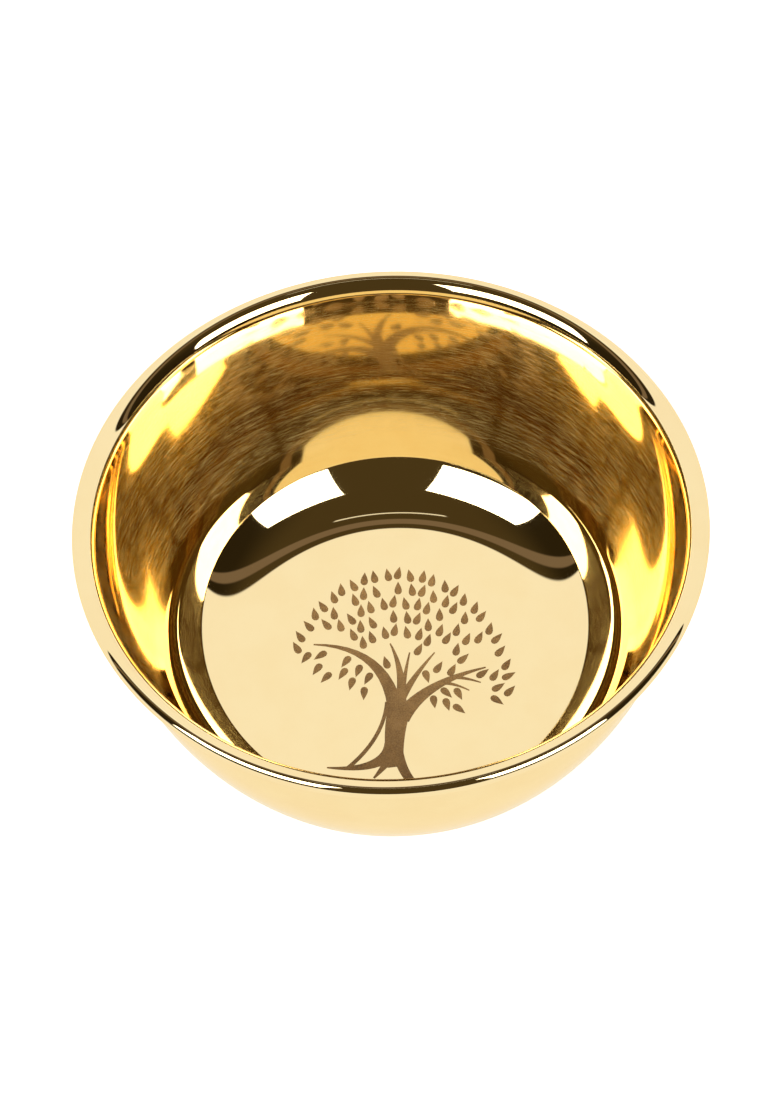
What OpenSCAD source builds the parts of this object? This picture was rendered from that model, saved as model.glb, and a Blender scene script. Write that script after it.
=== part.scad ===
// Small brass offering bowl with a tree of life on its inner floor.
// The bowl is one sheet of brass, spun to a flat floor, a rounded corner, a wall that leans
// outward and a flared lip curled round a wire. The tree is engraved and filled flush with dark
// enamel.
// Origin: centre of the bowl on the table, +Z up. The tree's crown points to +Y.

/* [Bowl] */
// Diameter over the rounded lip
lip_d = 76; // [64:0.5:90]
// Height from the table to the top of the lip
bowl_h = 30.5; // [24:0.5:35]
// Thickness of the brass sheet
sheet_t = 0.5; // [0.4:0.05:0.7]
// Radius of the flat floor
floor_r = 18.6; // [15:0.2:21.4]
// Inner radius of the corner between the floor and the wall
corner_r = 11.5; // [9:0.5:13]
// Lean of the wall away from upright just above that corner, in degrees
wall_lean = 29; // [23:1:33]

/* [Lip] */
// Thickness of the wire inside the lip
wire_d = 0.8; // [0.6:0.1:1.4]
// Play between the wire and the sheet curled round it
wire_play = 0.02; // [0.01:0.01:0.04]
// Width of the open seam between the curled edge and the sheet above it
seam_w = 0.15; // [0.1:0.05:0.25]
// Radius of the flare, on its inside, over which the wall rolls outward into the lip
flare_r = 2; // [1.6:0.1:3]
// Where the flare passes into the curl, in degrees up from level on the outside
flare_top = 98; // [90:1:105]

/* [Tree] */
// Depth of the engraving and of the enamel that fills it
fill_t = 0.15; // [0.1:0.05:0.3]
// Bare floor left round the circle that the tree is drawn in
tree_margin = 0.3; // [0.3:0.1:2]
// Length of a leaf
leaf_l = 2; // [1.3:0.05:2.2]
// Width of a leaf
leaf_w = 0.95; // [0.7:0.05:1.2]
// Distance between neighbouring leaves in a row
leaf_step = 1.7; // [1.6:0.1:3]
// Number of leaf rows between the fork and the edge of the crown
leaf_rows = 8; // [5:1:8]
// Bare brass left round a leaf, at the least
leaf_gap = 0.1; // [0.08:0.02:0.4]

/* [Hidden] */

$fn = 96;
brass = [0.90, 0.73, 0.40];
enamel = [0.42, 0.31, 0.17];

// How far a cut runs past the surface that it opens
overrun = 1;

// The point at distance r in the direction a
function along(a, r) = [r * cos(a), r * sin(a)];

// Points on an arc from angle a to angle b, without the first, where the outline already is
function arc(centre, r, a, b, steps) =
    [for (k = [1:steps]) centre + along(a + (b - a) * k / steps, r)];

// The bead is the curled edge: the wire with one thickness of sheet round it.
bead_r = wire_d / 2 + sheet_t;
bead_c = [lip_d / 2 - bead_r, bowl_h - bead_r];

// The flare is a wider arc that touches the bead from outside, near its top.
flare_offset = flare_r - bead_r;
flare_c = bead_c - along(flare_top, flare_offset);
under_flare = flare_r - sheet_t;

// The corner's arc starts flat and ends where the wall starts.
corner_c = [floor_r, sheet_t + corner_r];
corner_end = corner_c + along(-wall_lean, corner_r);

// The wall's inner face is one arc that leaves the corner without a kink and touches the flare.
// So the flare's centre lies at wall_r + flare_r from the wall's own centre. With a wide lip both
// are negative: the wall's centre is then outside the bowl, and the wall flares towards its lip.
rise = flare_c - corner_end;
wall_r = (rise * rise - flare_r * flare_r) / (2 * (flare_r - rise * along(-wall_lean, 1)));
wall_c = corner_end - along(-wall_lean, wall_r);
to_flare = (flare_c - wall_c) / (wall_r + flare_r);
lip_lean = -atan2(to_flare[1], to_flare[0]);
flare_start = 180 - lip_lean;

// The curl runs round the wire until its edge is one seam away from the flare's underside. There
// the edge lies at under_flare - seam_w from the flare's centre.
curl_open = acos(
    (pow(under_flare - seam_w, 2) - pow(bead_r, 2) - pow(flare_offset, 2))
    / (2 * bead_r * flare_offset)
);
curl_end = flare_top - 360 + curl_open;

// Straight stretches that stand for each arc of the section
corner_steps = 24;
wall_steps = 16;
flare_steps = 12;
bead_steps = 28;

tree_r = floor_r - tree_margin;

// Limbs of the tree, as shares of tree_r: start, bend and end point, then the width at each end
trunk_shares = [
    [[-0.04, -0.86], [-0.06, -0.62], [0.01, -0.37], 0.11, 0.16],
    // Roots, the last a thin strand that leaves the trunk under the left bough
    [[-0.03, -0.66], [-0.02, -0.86], [0.06, -0.98], 0.08, 0.06],
    [[-0.05, -0.68], [-0.11, -0.90], [-0.50, -0.84], 0.12, 0.012],
    [[-0.07, -0.78], [-0.12, -0.86], [-0.19, -0.94], 0.07, 0.015],
    [[-0.08, -0.34], [-0.11, -0.63], [-0.36, -0.85], 0.025, 0.03]
];
left_bough_share = [[-0.02, -0.46], [-0.05, 0.11], [-0.56, 0.15], 0.11, 0.012];
right_bough_share = [[0.01, -0.48], [0.17, -0.20], [0.60, -0.10], 0.12, 0.012];
twig_shares = [
    [[0.01, -0.38], [0.05, -0.10], [-0.04, 0.13], 0.08, 0.01],
    [[0.03, -0.26], [0.05, -0.12], [0.09, 0.05], 0.04, 0.01],
    [[0.02, -0.32], [0.11, -0.14], [0.26, 0.04], 0.06, 0.01],
    [[0.31, -0.21], [0.39, -0.22], [0.48, -0.28], 0.03, 0.01],
    [[0.40, -0.17], [0.47, -0.18], [0.56, -0.22], 0.03, 0.01]
];
limb_shares = concat(trunk_shares, [left_bough_share, right_bough_share], twig_shares);
// Straight stretches along each side of a limb
limb_steps = 12;

// The fork, from which the leaf rows fan out, and the crown's half width and height above it
fork_share = [0.00, -0.32];
crown_share = [0.76, 1.02];
// The innermost row's size as a share of the outermost
first_row_share = 0.2;
// Each row runs this far to both sides of straight up, in degrees
row_reach = 128;
// Below its middle the crown is an ellipse too: its middle, and its half width and depth. It
// hangs deeper on the right, by this slope.
skirt_middle_share = [0.02, 0.02];
skirt_share = [0.84, 0.38];
skirt_slope_share = 0.3;
// How much of the fan's spread the leaves' own turn follows: they point more upward than out
turn_share = 0.6;
// Leaves lower than this over the skirt's sloping middle hang down. They lean outward by
// hang_lean degrees per tree_r from the trunk.
hang_share = -0.1;
hang_lean = 80;
// How far leaves sway from that turn and stray from their row, and the turn from one leaf to the
// next that mixes both
sway = 14;
stray_share = 0.008;
mix_turn = 137;

// A leaf is a drop: round at the stalk and pointed at the tip. The power sharpens the tip,
// and the belly share brings the widest place to the full width.
leaf_points = 14;
tip_power = 1.5;
belly_share = 1.43;

// Point, direction and width of a limb at t, from 0 at its start to 1 at its end
function limb_point(s, t) = tree_r * ((1 - t) * (1 - t) * s[0] + 2 * t * (1 - t) * s[1] + t * t * s[2]);
function limb_course(s, t) = (1 - t) * (s[1] - s[0]) + t * (s[2] - s[1]);
function limb_width(s, t) = tree_r * ((1 - t) * s[3] + t * s[4]);

// The point beside a limb, half a width to its left (way = 1) or right (way = -1)
function limb_side(s, t, way) =
    let (course = limb_course(s, t))
    limb_point(s, t) + way * limb_width(s, t) / 2 * [-course[1], course[0]] / norm(course);

// Bare distance from a point to the nearest limb
function bare(p) = min([
    for (s = limb_shares, k = [0:limb_steps])
        norm(p - limb_point(s, k / limb_steps)) - limb_width(s, k / limb_steps) / 2
]);

// Direction of a vector, in degrees clockwise from straight up
function turn_of(v) = atan2(v[0], v[1]);

// Half width and height of row i, and how many leaves fit along it
function row_size(i) =
    tree_r * (first_row_share + (1 - first_row_share) * i / (leaf_rows - 1)) * crown_share;
function row_count(i) =
    floor(row_reach * PI / 180 * (row_size(i)[0] + row_size(i)[1]) / leaf_step);

// Height of a place over the skirt's sloping middle, as a share of tree_r
function over_skirt(place) =
    let (p = place - skirt_middle_share)
    p[1] + skirt_slope_share * p[0];

// Place and turn of leaf k in row i, where each row fans out round the fork
function fan_leaf(i, k) =
    let (
        half_step = i % 2 / 2,
        a = row_reach * (2 * (k + half_step) / row_count(i) - 1),
        offset = [row_size(i)[0] * sin(a), row_size(i)[1] * cos(a)],
        mix = mix_turn * (leaf_rows * i + k),
        place = offset / tree_r + fork_share + along(mix, stray_share),
        hanging = sign(place[0]) * (180 - hang_lean * abs(place[0])),
        turn = over_skirt(place) < hang_share ? hanging : turn_share * turn_of(offset)
    )
    [tree_r * place, turn + sway * sin(mix)];

// Three round spots that cover a leaf, each with its radius: stalk end, belly and tip
function spots(leaf) =
    let (half = leaf_l / 2 * [sin(leaf[1]), cos(leaf[1])])
    [[leaf[0] - half / 2, leaf_w / 2], [leaf[0], leaf_w / 2], [leaf[0] + half, 0]];

// A leaf is kept inside the crown, clear of every limb and of the leaves kept before it.
function in_crown(leaf) =
    let (
        place = leaf[0] / tree_r,
        over = over_skirt(place),
        aside = place[0] - skirt_middle_share[0]
    )
    over > 0 || norm([aside / skirt_share[0], over / skirt_share[1]]) < 1;
function off_limbs(leaf) = min([for (s = spots(leaf)) bare(s[0]) - s[1]]) > leaf_gap;
function off_leaf(a, b) =
    min([for (p = spots(a), q = spots(b)) norm(p[0] - q[0]) - p[1] - q[1]]) > leaf_gap;
function off_leaves(leaf, kept) = len([for (other = kept) if (!off_leaf(leaf, other)) 1]) == 0;
function keep_clear(wanted, kept = [], i = 0) =
    i == len(wanted)
        ? kept
        : keep_clear(wanted, off_leaves(wanted[i], kept) ? [each kept, wanted[i]] : kept, i + 1);

leaves = keep_clear([
    for (i = [leaf_rows - 1:-1:0], k = [0:row_count(i) - 1])
        let (leaf = fan_leaf(i, k))
        if (in_crown(leaf) && off_limbs(leaf)) leaf
]);

// Half section of the whole sheet, to be turned round the Z axis: up the inside, round the
// wire and back down the outside
module shell_section() {
    polygon(concat(
        [[0, sheet_t], [floor_r, sheet_t]],
        arc(corner_c, corner_r, -90, -wall_lean, corner_steps),
        arc(wall_c, wall_r, -wall_lean, -lip_lean, wall_steps),
        arc(flare_c, flare_r, flare_start, flare_top, flare_steps),
        arc(bead_c, bead_r, flare_top, curl_end, bead_steps),
        [bead_c + along(curl_end, wire_d / 2)],
        arc(bead_c, wire_d / 2, curl_end, flare_top, bead_steps),
        arc(flare_c, under_flare, flare_top, flare_start, flare_steps),
        arc(wall_c, wall_r + sheet_t, -lip_lean, -wall_lean, wall_steps),
        arc(corner_c, corner_r + sheet_t, -wall_lean, -90, corner_steps),
        [[0, 0]]
    ));
}

// One limb of the tree, from its line of shares
module limb(s) {
    polygon([
        for (k = [0:limb_steps]) limb_side(s, k / limb_steps, 1),
        for (k = [limb_steps:-1:0]) limb_side(s, k / limb_steps, -1)
    ]);
}

module tree_outline() {
    for (s = limb_shares) limb(s);
}

module leaf_outline() {
    polygon([
        for (k = [0:leaf_points - 1])
            let (t = 360 * k / leaf_points)
            [
                leaf_w / 2 * belly_share * sin(t) * pow(sin(t / 2), tip_power),
                leaf_l / 2 * cos(t)
            ]
    ]);
}

module all_leaves() {
    for (leaf = leaves) translate(leaf[0]) rotate(-leaf[1]) leaf_outline();
}

// What is engraved, as thick as asked, from the bottom of the engraving up
module engraved(thickness) {
    translate([0, 0, sheet_t - fill_t]) linear_extrude(thickness) children();
}

module bowl_shell() {
    color(brass) difference() {
        rotate_extrude() shell_section();
        engraved(fill_t + overrun) tree_outline();
        engraved(fill_t + overrun) all_leaves();
    }
}

module rim_wire() {
    color(brass) rotate_extrude() translate(bead_c) circle(d = wire_d - 2 * wire_play);
}

module tree_fill() {
    color(enamel) engraved(fill_t) tree_outline();
}

module leaf_fill() {
    color(enamel) engraved(fill_t) all_leaves();
}

bowl_shell();
rim_wire();
tree_fill();
leaf_fill();
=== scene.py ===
# %% [markdown]
# # A small brass offering bowl
# The bowl is 76 mm wide, spun from one sheet of brass and polished until it mirrors the room.
# On its flat inner floor a tree of life is engraved and filled with dark enamel.
# Nearly all of its look is reflection. So this lesson builds the studio before the bowl: what
# stands round a mirror is as much a part of the picture as the mirror is.

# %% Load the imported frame
import math

import bmesh
import bpy
from mathutils import Matrix, Vector


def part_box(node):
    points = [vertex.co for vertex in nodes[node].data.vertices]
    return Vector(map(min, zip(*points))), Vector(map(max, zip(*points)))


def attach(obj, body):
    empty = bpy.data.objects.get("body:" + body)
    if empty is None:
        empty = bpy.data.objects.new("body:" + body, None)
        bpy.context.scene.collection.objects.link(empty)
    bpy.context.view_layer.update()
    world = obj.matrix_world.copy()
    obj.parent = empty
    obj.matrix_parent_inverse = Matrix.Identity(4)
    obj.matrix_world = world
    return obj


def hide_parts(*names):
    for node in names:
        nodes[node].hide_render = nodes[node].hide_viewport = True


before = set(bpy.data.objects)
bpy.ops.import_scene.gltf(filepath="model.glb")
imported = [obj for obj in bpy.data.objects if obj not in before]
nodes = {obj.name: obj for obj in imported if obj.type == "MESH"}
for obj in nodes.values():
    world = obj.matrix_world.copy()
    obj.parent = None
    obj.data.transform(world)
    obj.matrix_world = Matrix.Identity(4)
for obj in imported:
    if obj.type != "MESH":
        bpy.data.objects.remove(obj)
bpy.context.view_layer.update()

MM = 0.001
bpy.ops.object.select_all(action="DESELECT")
print("CAD nodes:", sorted(nodes))

# %% [markdown]
# ## The bowl's sizes
# The CAD source gives the section of the bowl: a flat floor, a rounded corner, a wall that is one
# long arc, a short flare, and an edge curled round a wire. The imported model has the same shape,
# but as flat facets, and a mirror shows every facet. The bowl is therefore turned again here from
# the same sizes, only finer. Reading the lip's radius and height from the frame keeps the two
# together.

# %% Sizes of the section, in metres
LIP_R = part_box("bowl_shell")[1].x
BOWL_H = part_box("bowl_shell")[1].z
SHEET = 0.5 * MM
FLOOR_R = 18.6 * MM
CORNER_R = 11.5 * MM
WALL_LEAN = math.radians(29)
FLARE_R = 2.0 * MM
LIP_TIP = math.radians(98)
WIRE_R = 0.4 * MM
SEAM = 0.15 * MM
FILL_DEPTH = 0.15 * MM

BEAD_R = WIRE_R + SHEET
bead_middle = Vector((LIP_R - BEAD_R, BOWL_H - BEAD_R))
print(f"lip radius {LIP_R / MM:.2f} mm, height {BOWL_H / MM:.2f} mm, bead at {bead_middle / MM}")

# %% [markdown]
# ## The camera
# The photograph looks down into the bowl. Its rim is an ellipse whose proportions give the angle,
# 55 degrees above the table, and the tilt of that ellipse gives a small roll. How much wider the
# near half is than the far half gives the distance. The lens then follows from the size of the
# bowl in the picture, and a small shift puts the middle of the rim where the photograph has it.

# %% Camera
CAMERA_RISE = math.radians(55.1)
CAMERA_ROLL = math.radians(2.7)
CAMERA_DISTANCE = 570.6 * MM
PICTURE = (780, 1108)
PIXELS_PER_MM = 8.395
RIM_IN_PICTURE = (390.4, 525.1)
SENSOR = 36

rim_middle = Vector((0, 0, bead_middle.y))
ahead = Vector((0, math.cos(CAMERA_RISE), -math.sin(CAMERA_RISE)))
level_right = Vector((1, 0, 0))
level_up = level_right.cross(ahead)
right = level_right * math.cos(CAMERA_ROLL) - level_up * math.sin(CAMERA_ROLL)
up = level_right * math.sin(CAMERA_ROLL) + level_up * math.cos(CAMERA_ROLL)

bpy.ops.object.camera_add()
camera = bpy.context.object
camera.name = "photo_camera"
camera.matrix_world = (
    Matrix.Translation(rim_middle - ahead * CAMERA_DISTANCE)
    @ Matrix((right, up, -ahead)).transposed().to_4x4()
)
camera.data.sensor_width = SENSOR
camera.data.lens = SENSOR * CAMERA_DISTANCE / (PICTURE[1] / PIXELS_PER_MM * MM)
camera.data.shift_x = (PICTURE[0] / 2 - RIM_IN_PICTURE[0]) / PICTURE[1]
camera.data.shift_y = (RIM_IN_PICTURE[1] - PICTURE[1] / 2) / PICTURE[1]
bpy.context.scene.camera = camera
bpy.context.scene.view_settings.view_transform = "Standard"
print(f"lens {camera.data.lens:.1f} mm, shift {camera.data.shift_x:.4f} {camera.data.shift_y:.4f}")

# %% [markdown]
# ## Small helpers for node trees
# A node tree is easier to read when each node is one line. `node` adds a node and fills its
# sockets: a number or colour is typed in, and another node's socket is linked. `maths` does the
# same for the Math node, which these materials use most.

# %% Helpers for node trees
def node(tree, kind, inputs=(), **settings):
    made = tree.nodes.new(kind)
    for name, value in settings.items():
        setattr(made, name, value)
    for socket, value in dict(inputs).items():
        if isinstance(value, bpy.types.NodeSocket):
            tree.links.new(value, made.inputs[socket])
        else:
            made.inputs[socket].default_value = value
    return made


def maths(tree, operation, *values):
    return node(tree, "ShaderNodeMath", enumerate(values), operation=operation).outputs[0]


def smooth_step(tree, value, low, high):
    ramp = node(
        tree,
        "ShaderNodeMapRange",
        {"Value": value, "From Min": low, "From Max": high},
        interpolation_type="SMOOTHSTEP",
    )
    return ramp.outputs["Result"]


# %% [markdown]
# ## The studio
# A mirror has no look of its own, so each bright patch in the bowl is something in the room. A
# white sweep rises behind the bowl and ends a little short of overhead. After a dark gap comes a
# pale rail, and it draws the thin pale line at the back of the bowl's floor. A narrow light strip
# hangs overhead and shows as the white line in the dark crescent. Behind the camera the room is
# dim and warm, and two soft boxes hang there with a gap between them. The world shader paints all
# but the boxes by direction, which is enough because these things are far away. To the camera the
# world is plain white, so the background stays white from every side.

# %% World: white sweep, pale rail, light strip and dim room
# Edges in degrees from the far horizon: 90 is overhead and 180 the horizon behind the camera
SWEEP_TOP = 72
RAIL_LOW, RAIL_HIGH = 78.3, 85
STRIP_LOW, STRIP_HIGH = 92.6, 93.8
EDGE = 0.7
# Edges in degrees to either side of the upright plane through the camera
STRIP_END, STRIP_END_FADE = 12, 1
ROOM_FADE_START, ROOM_FADE_END = 20, 50
WHITE = (1, 1, 1, 1)
RAIL_TONE = (0.19, 0.14, 0.10, 1)
ROOM_TONE = (0.066, 0.046, 0.018, 1)
ROOM_SIDE_SHARE = 0.35

world = bpy.data.worlds.new("studio")
bpy.context.scene.world = world
world.use_nodes = True
tree = world.node_tree
tree.nodes.clear()
direction = node(tree, "ShaderNodeTexCoord").outputs["Generated"]
parts = node(tree, "ShaderNodeSeparateXYZ", {"Vector": direction})
over = maths(tree, "DEGREES", maths(tree, "ARCTAN2", parts.outputs["Z"], parts.outputs["Y"]))
aside = maths(tree, "DEGREES", maths(tree, "ARCSINE", parts.outputs["X"]))
to_either_side = maths(tree, "ABSOLUTE", aside)


def below(edge, soft=EDGE):
    return maths(tree, "SUBTRACT", 1.0, smooth_step(tree, over, edge - soft, edge + soft))


def blend(factor, one, other):
    mix = node(
        tree, "ShaderNodeMix", {"Factor": factor, "A": one, "B": other}, data_type="RGBA"
    )
    return mix.outputs["Result"]


room_fade = smooth_step(tree, to_either_side, ROOM_FADE_START, ROOM_FADE_END)
side_tone = tuple(part * ROOM_SIDE_SHARE for part in ROOM_TONE[:3]) + (1,)
room = blend(room_fade, ROOM_TONE, side_tone)
rail = maths(tree, "SUBTRACT", below(RAIL_HIGH), below(RAIL_LOW))
behind = blend(rail, room, RAIL_TONE)
strip = maths(tree, "SUBTRACT", below(STRIP_HIGH, EDGE / 2), below(STRIP_LOW, EDGE / 2))
past_end = smooth_step(tree, to_either_side, STRIP_END - STRIP_END_FADE, STRIP_END)
strip = maths(tree, "MULTIPLY", strip, maths(tree, "SUBTRACT", 1.0, past_end))
lit = blend(strip, behind, WHITE)
light = blend(below(SWEEP_TOP), lit, WHITE)
to_camera = node(tree, "ShaderNodeLightPath").outputs["Is Camera Ray"]
seen = blend(to_camera, light, WHITE)
background = node(tree, "ShaderNodeBackground", {"Color": seen, "Strength": 1.0})
node(tree, "ShaderNodeOutputWorld", {"Surface": background.outputs["Background"]})
print("world nodes:", len(tree.nodes))

# %% [markdown]
# Two soft boxes stand behind the camera, one to each side, leaning over the bowl. Their images in
# the bowl's corner are sharp enough to work out each box from four directions. So a box is given
# by its upper inner corner and by the two edges that start there, seen from the middle of the rim.
# They are much brighter than white: even after two bounces off the brass they still look white.

# %% Soft boxes, in metres from the middle of the rim
BOX_GLOW = 6.5
BOXES = {
    "soft_box_right": ((0.61, -1.25, 2.0), (1.18, 0.51, 0.0), (0.12, -0.28, -1.30)),
    "soft_box_left": ((-0.49, -1.22, 2.0), (-1.10, 0.78, 0.0), (-0.14, -0.20, -1.26)),
}


def soft_box(name, corner, width, drop, glow):
    width, drop = Vector(width), Vector(drop)
    middle = Vector(corner) + width / 2 + drop / 2
    across, rise = width.normalized(), -drop.normalized()
    away = across.cross(rise)
    # A lamp shines along its own -Z, so its +Z has to point away from the bowl.
    if away.dot(middle) < 0:
        across, away = -across, -away
    bpy.ops.object.light_add(type="AREA")
    lamp = bpy.context.object
    lamp.name = name
    lamp.matrix_world = Matrix.Translation(rim_middle + middle) @ Matrix(
        (across, rise, away)
    ).transposed().to_4x4()
    lamp.data.shape = "RECTANGLE"
    lamp.data.size = width.length
    lamp.data.size_y = drop.length
    # A rectangle of area A that glows at L gives off pi times A times L.
    lamp.data.energy = glow * math.pi * lamp.data.size * lamp.data.size_y
    lamp.visible_camera = False
    print(f"{name}: {lamp.data.size:.2f} x {lamp.data.size_y:.2f} m, {lamp.data.energy:.0f} W")


for name, (corner, width, drop) in BOXES.items():
    soft_box(name, corner, width, drop, BOX_GLOW)

# %% [markdown]
# ## The floor
# The bowl stands on a plain pale table. Brass at this polish shows the table in its whole outer
# wall, so mirrored rays get a plain white floor. The camera gets matt white with just enough
# glow to reach white, which keeps the soft shadow round the foot.

# %% Floor
FLOOR_HALF = 4.0
FLOOR_TONE = (0.85, 0.85, 0.85, 1)
FLOOR_GLOW = 0.45

bpy.ops.mesh.primitive_plane_add(size=2 * FLOOR_HALF, location=(0, 0, 0))
floor = bpy.context.object
floor.name = "pale_floor"
floor_paint = bpy.data.materials.new("pale_table")
floor_paint.use_nodes = True
tree = floor_paint.node_tree
tree.nodes.clear()
rays = node(tree, "ShaderNodeLightPath")
matt = node(tree, "ShaderNodeBsdfDiffuse", {"Color": FLOOR_TONE})
camera_glow = node(
    tree,
    "ShaderNodeEmission",
    {"Strength": maths(tree, "MULTIPLY", rays.outputs["Is Camera Ray"], FLOOR_GLOW)},
)
seen_floor = node(
    tree, "ShaderNodeAddShader", {0: matt.outputs[0], 1: camera_glow.outputs["Emission"]}
)
mirrored = maths(
    tree, "MAXIMUM", rays.outputs["Is Glossy Ray"], rays.outputs["Is Transmission Ray"]
)
white_floor = node(tree, "ShaderNodeEmission", {"Strength": 1.0})
whole = node(
    tree,
    "ShaderNodeMixShader",
    {0: mirrored, 1: seen_floor.outputs["Shader"], 2: white_floor.outputs["Emission"]},
)
node(tree, "ShaderNodeOutputMaterial", {"Surface": whole.outputs["Shader"]})
floor.data.materials.append(floor_paint)
print("floor:", floor.dimensions)

# %% [markdown]
# ## Turning the bowl
# A metal spinner presses a disc of sheet over a turning former and then rolls its edge round a
# wire. The mesh is made the same way: the half section of the sheet is drawn once and spun round
# the upright axis. Spinning gives even quads that follow the turning, which is what smooth
# reflections need. A cylinder with bevels would never get the wall's long arc right.
#
# At the top the wall rolls outward in a short flare, and the flare passes into the curl round the
# wire. The wall's arc leaves the corner without a kink and touches the flare. One circle does
# both, and its radius comes from the distance between the corner's end and the flare's middle.

# %% Half section of the sheet
def along(angle, length):
    return Vector((math.cos(angle), math.sin(angle))) * length


def arc(centre, radius, start, end, steps):
    return [centre + along(start + (end - start) * k / steps, radius) for k in range(1, steps + 1)]


corner_middle = Vector((FLOOR_R, SHEET + CORNER_R))
corner_end = corner_middle + along(-WALL_LEAN, CORNER_R)
flare_offset = FLARE_R - BEAD_R
flare_middle = bead_middle - along(LIP_TIP, flare_offset)
rise = flare_middle - corner_end
wall_r = (rise.dot(rise) - FLARE_R**2) / (2 * (FLARE_R - rise.dot(along(-WALL_LEAN, 1))))
wall_middle = corner_end - along(-WALL_LEAN, wall_r)
to_flare = flare_middle - wall_middle
lip_lean = -math.atan2(to_flare.y, to_flare.x)
flare_start = math.pi - lip_lean
under_flare = FLARE_R - SHEET
# The curl ends where its edge is one seam short of the underside of the flare.
cos_open = (under_flare - SEAM) ** 2 - BEAD_R**2 - flare_offset**2
cos_open /= 2 * BEAD_R * flare_offset
curl_end = LIP_TIP - 2 * math.pi + math.acos(cos_open)

CORNER_STEPS, WALL_STEPS, FLARE_STEPS, BEAD_STEPS, WIRE_STEPS = 32, 20, 20, 40, 24
quarter = math.pi / 2
section = [
    Vector((FLOOR_R, SHEET)),
    *arc(corner_middle, CORNER_R, -quarter, -WALL_LEAN, CORNER_STEPS),
    *arc(wall_middle, wall_r, -WALL_LEAN, -lip_lean, WALL_STEPS),
    *arc(flare_middle, FLARE_R, flare_start, LIP_TIP, FLARE_STEPS),
    *arc(bead_middle, BEAD_R, LIP_TIP, curl_end, BEAD_STEPS),
    bead_middle + along(curl_end, WIRE_R),
    *arc(bead_middle, WIRE_R, curl_end, LIP_TIP, WIRE_STEPS),
    *arc(flare_middle, under_flare, LIP_TIP, flare_start, FLARE_STEPS),
    *arc(wall_middle, wall_r + SHEET, -lip_lean, -WALL_LEAN, WALL_STEPS),
    *arc(corner_middle, CORNER_R + SHEET, -WALL_LEAN, -quarter, CORNER_STEPS),
]
print(f"{len(section)} points, wall radius {wall_r / MM:.1f} mm")
print(f"lean at the lip {math.degrees(lip_lean):.1f} degrees")

# %% [markdown]
# The section starts as a curve, because a poly curve is the quickest way to draw a chain of
# points, and becomes a mesh with Convert. Spin then turns it once round, and its first and last
# copies are merged by distance. The flat floor is left open, since it needs no spinning.

# %% Spin the section into a wall and a lip
TURNS = 320
MERGE = 0.0001 * MM


def deselect():
    bpy.ops.object.select_all(action="DESELECT")


def only(piece):
    deselect()
    piece.select_set(True)
    bpy.context.view_layer.objects.active = piece


line = bpy.data.curves.new("section", "CURVE")
line.dimensions = "3D"
chain = line.splines.new("POLY")
chain.points.add(len(section) - 1)
for point, place in zip(chain.points, section):
    point.co = (place.x, 0, place.y, 1)
bowl = bpy.data.objects.new("spun_bowl", line)
bpy.context.collection.objects.link(bowl)
only(bowl)
bpy.ops.object.convert(target="MESH")
bpy.ops.object.mode_set(mode="EDIT")
bpy.ops.mesh.select_all(action="SELECT")
bpy.ops.mesh.spin(steps=TURNS, angle=2 * math.pi, center=(0, 0, 0), axis=(0, 0, 1))
bpy.ops.mesh.select_all(action="SELECT")
bpy.ops.mesh.remove_doubles(threshold=MERGE)
bpy.ops.object.mode_set(mode="OBJECT")
print(f"{bowl.name}: {len(bowl.data.polygons)} faces, box {bowl.dimensions / MM}")

# %% [markdown]
# ## Engraving the floor
# The tree and its leaves lie in shallow pockets, filled flush with enamel. The two fills come
# from the frame and stay as they are. Copies of them, stretched upwards so that they stand out
# of the floor, are the cutters: a Boolean that ended exactly at the surface would leave slivers.
# The cut is made in a plain disc of sheet, which is far quicker than in the whole bowl. Its rim
# has as many corners as the spun part has turns, so the two join without a gap.

# %% A disc of sheet for the floor
bpy.ops.mesh.primitive_cylinder_add(
    vertices=TURNS, radius=FLOOR_R, depth=SHEET, location=(0, 0, SHEET / 2)
)
disc = bpy.context.object
disc.name = "floor_disc"
bpy.ops.object.transform_apply(location=True, rotation=False, scale=False)

# %% Cut the pockets
CUTTER_TOP = 1.0 * MM


def cutter_from(name):
    cutter = nodes[name].copy()
    cutter.data = nodes[name].data.copy()
    cutter.parent = None
    cutter.name = name + "_cutter"
    bpy.context.collection.objects.link(cutter)
    only(cutter)
    bpy.ops.object.mode_set(mode="EDIT")
    bpy.ops.mesh.select_all(action="SELECT")
    bpy.ops.mesh.remove_doubles(threshold=MERGE)
    bpy.ops.mesh.select_all(action="DESELECT")
    shape = bmesh.from_edit_mesh(cutter.data)
    for corner in shape.verts:
        corner.select = corner.co.z > SHEET - FILL_DEPTH / 2
    shape.select_flush(True)
    bmesh.update_edit_mesh(cutter.data)
    bpy.ops.transform.translate(value=(0, 0, CUTTER_TOP))
    bpy.ops.object.mode_set(mode="OBJECT")
    return cutter


for name in ("tree_fill", "leaf_fill"):
    cutter = cutter_from(name)
    only(disc)
    cut = disc.modifiers.new("engraving", "BOOLEAN")
    cut.operation = "DIFFERENCE"
    cut.solver = "EXACT"
    cut.object = cutter
    bpy.ops.object.modifier_apply(modifier=cut.name)
    bpy.data.objects.remove(cutter)
    print(f"after {name}: {len(disc.data.polygons)} faces")

# %% [markdown]
# The disc's narrow edge would end up inside the metal, so it is deleted before the join.
# Smooth shading goes only on what is round: the floor and its pockets stay flat.

# %% Join the floor to the spun part
NEAR_EDGE = 0.999
UPRIGHT = 0.5

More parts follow.
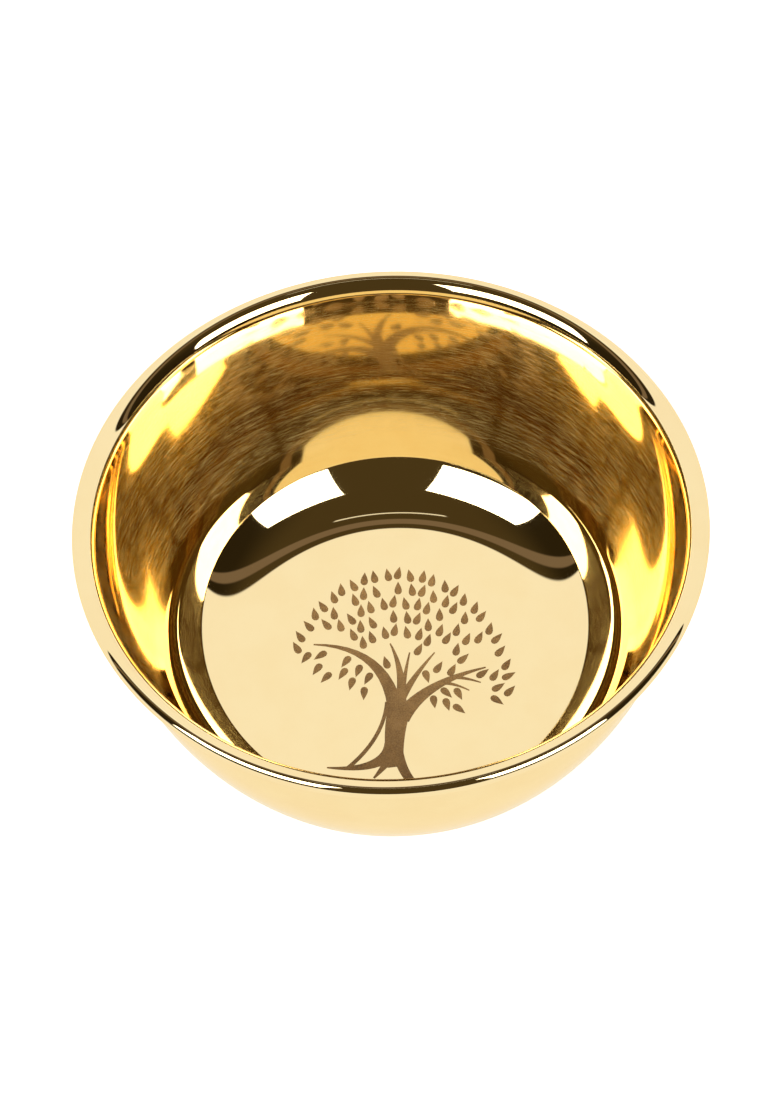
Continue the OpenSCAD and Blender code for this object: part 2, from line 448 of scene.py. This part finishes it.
only(disc)
bpy.ops.object.mode_set(mode="EDIT")
bpy.ops.mesh.select_all(action="DESELECT")
shape = bmesh.from_edit_mesh(disc.data)
side_distance = FLOOR_R * math.cos(math.pi / TURNS)
for face in shape.faces:
    far_out = math.hypot(*face.calc_center_median().xy) > NEAR_EDGE * side_distance
    face.select = far_out and abs(face.normal.z) < UPRIGHT
edge_faces = sum(face.select for face in shape.faces)
bmesh.update_edit_mesh(disc.data)
bpy.ops.mesh.delete(type="FACE")
bpy.ops.object.mode_set(mode="OBJECT")
for face in disc.data.polygons:
    face.use_smooth = False
only(bowl)
bpy.ops.object.shade_smooth()
disc.select_set(True)
bpy.ops.object.join()
bpy.ops.object.mode_set(mode="EDIT")
bpy.ops.mesh.select_all(action="SELECT")
bpy.ops.mesh.remove_doubles(threshold=MERGE)
bpy.ops.mesh.normals_make_consistent(inside=False)
bpy.ops.object.mode_set(mode="OBJECT")
shape = bmesh.new()
shape.from_mesh(bowl.data)
open_edges = sum(not edge.is_manifold for edge in shape.edges)
shape.free()
print(f"removed {edge_faces} edge faces; {len(bowl.data.polygons)} faces, {open_edges} open edges")

# %% [markdown]
# ## What every brass surface shares
# Polished brass is never one even colour: it has faint warmer clouds where the buffing
# compound stayed longer, and fine lines from the wheel and the cloth. Three effects serve
# all the metal, so each is a node group with its own values in each material.

# %% Node group: clouds of warmer brass
CLOUD_START, CLOUD_FULL = 0.35, 0.70


def new_group(name, inputs, outputs):
    group = bpy.data.node_groups.new(name, "ShaderNodeTree")
    for label, kind, value in inputs:
        socket = group.interface.new_socket(label, in_out="INPUT", socket_type=kind)
        socket.default_value = value
    for label, kind in outputs:
        group.interface.new_socket(label, in_out="OUTPUT", socket_type=kind)
    return group, group.nodes.new("NodeGroupInput").outputs


group, given = new_group(
    "brass_clouds",
    [
        ("Brass", "NodeSocketColor", (0.95, 0.75, 0.40, 1)),
        ("Warm Brass", "NodeSocketColor", (0.90, 0.66, 0.30, 1)),
        ("Size", "NodeSocketFloat", 150.0),
        ("Amount", "NodeSocketFloat", 0.5),
    ],
    [("Color", "NodeSocketColor"), ("Clouds", "NodeSocketFloat")],
)
place = node(group, "ShaderNodeTexCoord").outputs["Object"]
noise = node(
    group,
    "ShaderNodeTexNoise",
    {"Vector": place, "Scale": given["Size"], "Detail": 4.0, "Roughness": 0.55},
)
clouds = smooth_step(group, noise.outputs["Fac"], CLOUD_START, CLOUD_FULL)
tone = node(
    group,
    "ShaderNodeMix",
    {
        "Factor": maths(group, "MULTIPLY", clouds, given["Amount"]),
        "A": given["Brass"],
        "B": given["Warm Brass"],
    },
    data_type="RGBA",
)
node(group, "NodeGroupOutput", {"Color": tone.outputs["Result"], "Clouds": clouds})
brass_clouds = group
print("brass_clouds:", len(group.nodes), "nodes")

# %% [markdown]
# The wheel marks run round the bowl. On the surface that is noise squeezed along the section
# and stretched along the turning. The direction round the axis is used as a point on a unit
# circle, because an angle would jump from 180 to -180 degrees and leave a seam.

# %% Node group: marks of the polishing wheel
group, given = new_group(
    "wheel_marks",
    [
        ("Round", "NodeSocketFloat", 3.0),
        ("Across", "NodeSocketFloat", 6000.0),
        ("Share", "NodeSocketFloat", 0.5),
        ("Contrast", "NodeSocketFloat", 0.3),
    ],
    [("Height", "NodeSocketFloat")],
)
place = node(group, "ShaderNodeTexCoord").outputs["Object"]
flat = node(group, "ShaderNodeVectorMath", {0: place, 1: (1, 1, 0)}, operation="MULTIPLY")
radius = node(
    group, "ShaderNodeVectorMath", {0: flat.outputs["Vector"]}, operation="LENGTH"
).outputs["Value"]
unit = node(
    group, "ShaderNodeVectorMath", {0: flat.outputs["Vector"]}, operation="NORMALIZE"
)
turned = node(
    group,
    "ShaderNodeVectorMath",
    {0: unit.outputs["Vector"], "Scale": given["Round"]},
    operation="SCALE",
)
xyz = node(group, "ShaderNodeSeparateXYZ", {"Vector": turned.outputs["Vector"]})
height = node(group, "ShaderNodeSeparateXYZ", {"Vector": place}).outputs["Z"]
section_way = maths(group, "MULTIPLY", maths(group, "ADD", radius, height), given["Across"])
lines_at = node(
    group,
    "ShaderNodeCombineXYZ",
    {"X": xyz.outputs["X"], "Y": xyz.outputs["Y"], "Z": section_way},
)
noise = node(
    group,
    "ShaderNodeTexNoise",
    {"Vector": lines_at.outputs["Vector"], "Scale": 1.0, "Detail": 3.0, "Roughness": 0.7},
)
half_contrast = maths(group, "MULTIPLY", given["Contrast"], 0.5)
marks = smooth_step(
    group,
    noise.outputs["Fac"],
    maths(group, "SUBTRACT", given["Share"], half_contrast),
    maths(group, "ADD", given["Share"], half_contrast),
)
node(group, "NodeGroupOutput", {"Height": marks})
wheel_marks = group
print("wheel_marks:", len(group.nodes), "nodes")

# %% [markdown]
# The last rub with a cloth leaves short straight strokes in a few directions. Each direction is
# noise on a turned and stretched copy of the place, and the strokes show only where they are
# densest, so that they stay single lines.

# %% Node group: strokes of the polishing cloth
STROKE_TURNS = ((0.3, 0.5, 0.2), (1.1, -0.4, 1.9), (-0.7, 1.2, 3.1))
STROKE_SCALE = (9000, 9000, 250)
STROKE_FADE = 0.1

group, given = new_group(
    "cloth_strokes",
    [("Density", "NodeSocketFloat", 0.5)],
    [("Height", "NodeSocketFloat")],
)
place = node(group, "ShaderNodeTexCoord").outputs["Object"]
start = maths(group, "SUBTRACT", 1.0, maths(group, "MULTIPLY", given["Density"], 0.5))
strokes = None
for turn in STROKE_TURNS:
    turned = node(
        group,
        "ShaderNodeMapping",
        {"Vector": place, "Rotation": turn, "Scale": STROKE_SCALE},
    )
    noise = node(
        group,
        "ShaderNodeTexNoise",
        {"Vector": turned.outputs["Vector"], "Scale": 1.0, "Detail": 1.0},
    )
    full = maths(group, "ADD", start, STROKE_FADE)
    single = smooth_step(group, noise.outputs["Fac"], start, full)
    strokes = single if strokes is None else maths(group, "MAXIMUM", strokes, single)
node(group, "NodeGroupOutput", {"Height": strokes})
cloth_strokes = group
print("cloth_strokes:", len(group.nodes), "nodes")

# %% [markdown]
# Hand polishing never leaves a floor quite flat. The wheel bites more in the middle, so the floor
# is a very shallow dish, under half a millimetre deep. That is too little to see as a shape, but
# it bends the mirror image: without it the floor would show the dark back wall as an arc behind
# the tree. The group tilts the surface's normal towards the axis, more with the distance
# from it, and lets go of it in the corner.

# %% Node group: shallow dish of the polished floor
DISH_FADE_START, DISH_FADE_END = 1 * MM, 5 * MM

group, given = new_group(
    "shallow_dish",
    [("Tilt", "NodeSocketFloat", 0.05), ("Rim Radius", "NodeSocketFloat", FLOOR_R)],
    [("Normal", "NodeSocketVector")],
)
place = node(group, "ShaderNodeTexCoord").outputs["Object"]
height = node(group, "ShaderNodeSeparateXYZ", {"Vector": place}).outputs["Z"]
flat = node(group, "ShaderNodeVectorMath", {0: place, 1: (1, 1, 0)}, operation="MULTIPLY")
above_dish = smooth_step(group, height, DISH_FADE_START, DISH_FADE_END)
rim_tilt = maths(group, "MULTIPLY", given["Tilt"], maths(group, "SUBTRACT", 1.0, above_dish))
per_metre = maths(group, "DIVIDE", rim_tilt, given["Rim Radius"])
tilt = node(
    group,
    "ShaderNodeVectorMath",
    {0: flat.outputs["Vector"], "Scale": maths(group, "MULTIPLY", per_metre, -1.0)},
    operation="SCALE",
)
surface = node(group, "ShaderNodeNewGeometry").outputs["Normal"]
tilted = node(
    group, "ShaderNodeVectorMath", {0: surface, 1: tilt.outputs["Vector"]}, operation="ADD"
)
normal = node(group, "ShaderNodeVectorMath", {0: tilted.outputs["Vector"]}, operation="NORMALIZE")
node(group, "NodeGroupOutput", {"Normal": normal.outputs["Vector"]})
shallow_dish = group
print("shallow_dish:", len(group.nodes), "nodes")

# %% [markdown]
# ## Brass of the inside
# The floor, the corner and the lip are a near perfect mirror. On the wall the mirror lies under
# fine wheel scratches, each thinner than a pixel. So the wall still mirrors the tree, while the
# scratches add a soft sheen over it. The wall's brass also gets a warm tint, which is a painted
# reflection colour: it stands for the deeper tone of the light the wall mirrors. One mask that
# rises with the height and falls again at the lip blends the two finishes and the painted tint,
# so no border shows.

# %% Material: inside and lip
BRASS = (0.965, 0.775, 0.43, 1)
WARM_BRASS = (0.945, 0.735, 0.385, 1)
EDGE_TINT = (1.0, 0.90, 0.70, 1)
CLOUDS_PER_METRE = 150
# Painted reflection colour: a warm tint on the wall's brass for the deeper tone of its reflections
PAINTED_REFLECTION_TINT = (1.0, 0.97, 0.86, 1)
CORNER_FADE_START, CORNER_FADE_END = 7 * MM, 9 * MM
LIP_FADE_START, LIP_FADE_END = BOWL_H - 3 * MM, BOWL_H - 2 * MM
MIRROR_ROUGHNESS = 0.03
WALL_ROUGHNESS, SCRATCH_ROUGHNESS = 0.05, 0.55
SCRATCH_DEPTH = 0.0003 * MM
MARKS_DEPTH_SHARE = 0.5
DISH_TILT = math.radians(2.5)


def brass(name, clouds_amount):
    material = bpy.data.materials.new(name)
    material.use_nodes = True
    tree = material.node_tree
    shader = tree.nodes["Principled BSDF"]
    shader.inputs["Metallic"].default_value = 1.0
    shader.inputs["Specular Tint"].default_value = EDGE_TINT
    tone = node(
        tree,
        "ShaderNodeGroup",
        {
            "Brass": BRASS,
            "Warm Brass": WARM_BRASS,
            "Size": CLOUDS_PER_METRE,
            "Amount": clouds_amount,
        },
        node_tree=brass_clouds,
    )
    tree.links.new(tone.outputs["Color"], shader.inputs["Base Color"])
    return material, tree, shader, tone


inside, tree, shader, tone = brass("polished_brass_inside", clouds_amount=0.5)
place = node(tree, "ShaderNodeTexCoord").outputs["Object"]
height = node(tree, "ShaderNodeSeparateXYZ", {"Vector": place}).outputs["Z"]
above_corner = smooth_step(tree, height, CORNER_FADE_START, CORNER_FADE_END)
in_lip = smooth_step(tree, height, LIP_FADE_START, LIP_FADE_END)
wall = maths(tree, "MULTIPLY", above_corner, maths(tree, "SUBTRACT", 1.0, in_lip))
marks = node(
    tree,
    "ShaderNodeGroup",
    {"Round": 9, "Across": 50000, "Share": 0.612, "Contrast": 0.1},
    node_tree=wheel_marks,
)
strokes = node(tree, "ShaderNodeGroup", node_tree=cloth_strokes)
scratched = maths(tree, "MAXIMUM", marks.outputs["Height"], strokes.outputs["Height"])
wall_rough = node(
    tree,
    "ShaderNodeMapRange",
    {"Value": scratched, "To Min": WALL_ROUGHNESS, "To Max": SCRATCH_ROUGHNESS},
)
rough = node(
    tree,
    "ShaderNodeMix",
    {"Factor": wall, "A": MIRROR_ROUGHNESS, "B": wall_rough.outputs["Result"]},
    data_type="FLOAT",
)
# Painted reflection colour: the wall's brass is multiplied by the warm tint under the wall mask
painted_reflection_warmth = node(
    tree,
    "ShaderNodeMix",
    {"Factor": wall, "A": tone.outputs["Color"], "B": PAINTED_REFLECTION_TINT},
    data_type="RGBA",
    blend_type="MULTIPLY",
)
tree.links.new(painted_reflection_warmth.outputs["Result"], shader.inputs["Base Color"])
tree.links.new(rough.outputs["Result"], shader.inputs["Roughness"])
relief = maths(
    tree,
    "ADD",
    maths(tree, "MULTIPLY", marks.outputs["Height"], MARKS_DEPTH_SHARE),
    strokes.outputs["Height"],
)
dish = node(
    tree,
    "ShaderNodeGroup",
    {"Tilt": DISH_TILT, "Rim Radius": FLOOR_R},
    node_tree=shallow_dish,
)
bump = node(
    tree,
    "ShaderNodeBump",
    {
        "Height": maths(tree, "MULTIPLY", relief, wall),
        "Strength": 1.0,
        "Distance": SCRATCH_DEPTH,
        "Normal": dish.outputs["Normal"],
    },
)
tree.links.new(bump.outputs["Normal"], shader.inputs["Normal"])

# %% [markdown]
# The outer wall is buffed with a softer wheel. It is a little duller all over, with fainter marks,
# and it mirrors the pale table as one even tone.

# %% Material: outer wall
OUTSIDE_SMOOTH, OUTSIDE_MARKED = 0.12, 0.22
OUTSIDE_DEPTH = 0.001 * MM

outside, tree, shader, tone = brass("polished_brass_outside", clouds_amount=0.6)
marks = node(tree, "ShaderNodeGroup", node_tree=wheel_marks)
rough = node(
    tree,
    "ShaderNodeMapRange",
    {"Value": marks.outputs["Height"], "To Min": OUTSIDE_SMOOTH, "To Max": OUTSIDE_MARKED},
)
tree.links.new(rough.outputs["Result"], shader.inputs["Roughness"])
bump = node(
    tree,
    "ShaderNodeBump",
    {"Height": marks.outputs["Height"], "Strength": 1.0, "Distance": OUTSIDE_DEPTH},
)
tree.links.new(bump.outputs["Normal"], shader.inputs["Normal"])

# %% [markdown]
# The outer wall's finish ends at the lip, because the curled edge is polished with the inside.
# Faces are chosen by place and by the way they face: the underside and all that looks outward
# below the curled edge belong to the outside.

# %% Give the faces their finish
LIP_BOTTOM = bead_middle.y - 0.2 * BEAD_R
ROUND_BEAD = 1.01 * BEAD_R
OUTWARD = 0.2
UPWARD = 0.1

bowl.data.materials.append(inside)
bowl.data.materials.append(outside)
for face in bowl.data.polygons:
    spot = Vector((math.hypot(face.center.x, face.center.y), face.center.z))
    if spot.y > LIP_BOTTOM or (spot - bead_middle).length < ROUND_BEAD:
        outer = False
    elif spot.y < SHEET / 2:
        outer = True
    else:
        outward = face.normal.x * face.center.x + face.normal.y * face.center.y
        outer = outward > OUTWARD * spot.x * math.hypot(face.normal.x, face.normal.y)
        outer = outer and face.normal.z < UPWARD
    face.material_index = 1 if outer else 0
print("outer faces:", sum(face.material_index for face in bowl.data.polygons))

# %% [markdown]
# ## Enamel of the tree
# The filling is matt and a little grainy, like fired enamel rubbed level with the metal.

# %% Material: dark enamel
GRAIN_PER_METRE, PATCHES_PER_METRE = 9000, 350
GRAIN_SHARE = 0.6
DARK_START, PALE_FULL = 0.35, 0.65
DARK_ENAMEL = (0.20, 0.11, 0.035, 1)
PALE_ENAMEL = (0.38, 0.23, 0.085, 1)
ENAMEL_SMOOTH, ENAMEL_ROUGH = 0.55, 0.8
GRAIN_DEPTH = 0.02 * MM

enamel = bpy.data.materials.new("dark_enamel")
enamel.use_nodes = True
tree = enamel.node_tree
shader = tree.nodes["Principled BSDF"]
place = node(tree, "ShaderNodeTexCoord").outputs["Object"]
grain = node(
    tree, "ShaderNodeTexNoise", {"Vector": place, "Scale": GRAIN_PER_METRE, "Detail": 3.0}
)
patch = node(
    tree, "ShaderNodeTexNoise", {"Vector": place, "Scale": PATCHES_PER_METRE, "Detail": 2.0}
)
mixed = maths(
    tree,
    "ADD",
    maths(tree, "MULTIPLY", grain.outputs["Fac"], GRAIN_SHARE),
    maths(tree, "MULTIPLY", patch.outputs["Fac"], 1 - GRAIN_SHARE),
)
colour = node(
    tree,
    "ShaderNodeMix",
    {
        "Factor": smooth_step(tree, mixed, DARK_START, PALE_FULL),
        "A": DARK_ENAMEL,
        "B": PALE_ENAMEL,
    },
    data_type="RGBA",
)
tree.links.new(colour.outputs["Result"], shader.inputs["Base Color"])
rough = node(
    tree,
    "ShaderNodeMapRange",
    {"Value": grain.outputs["Fac"], "To Min": ENAMEL_SMOOTH, "To Max": ENAMEL_ROUGH},
)
tree.links.new(rough.outputs["Result"], shader.inputs["Roughness"])
bump = node(
    tree,
    "ShaderNodeBump",
    {"Height": grain.outputs["Fac"], "Strength": 0.4, "Distance": GRAIN_DEPTH},
)
tree.links.new(bump.outputs["Normal"], shader.inputs["Normal"])
for name in ("tree_fill", "leaf_fill"):
    nodes[name].data.materials.clear()
    nodes[name].data.materials.append(enamel)

# %% [markdown]
# The wire in the lip shows only through the narrow seam under it. Drawn wire is duller than
# polished sheet, so it has the same brass with a rougher finish.

# %% Material: wire in the lip
WIRE_SMOOTH, WIRE_MARKED = 0.25, 0.4

wire, tree, shader, tone = brass("drawn_brass", clouds_amount=0.8)
marks = node(tree, "ShaderNodeGroup", node_tree=wheel_marks)
rough = node(
    tree,
    "ShaderNodeMapRange",
    {"Value": marks.outputs["Height"], "To Min": WIRE_SMOOTH, "To Max": WIRE_MARKED},
)
tree.links.new(rough.outputs["Result"], shader.inputs["Roughness"])
nodes["rim_wire"].data.materials.clear()
nodes["rim_wire"].data.materials.append(wire)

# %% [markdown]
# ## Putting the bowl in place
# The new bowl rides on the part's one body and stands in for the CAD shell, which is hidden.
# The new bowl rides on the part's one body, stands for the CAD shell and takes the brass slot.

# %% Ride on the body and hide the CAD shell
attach(bowl, "root")
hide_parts("bowl_shell")
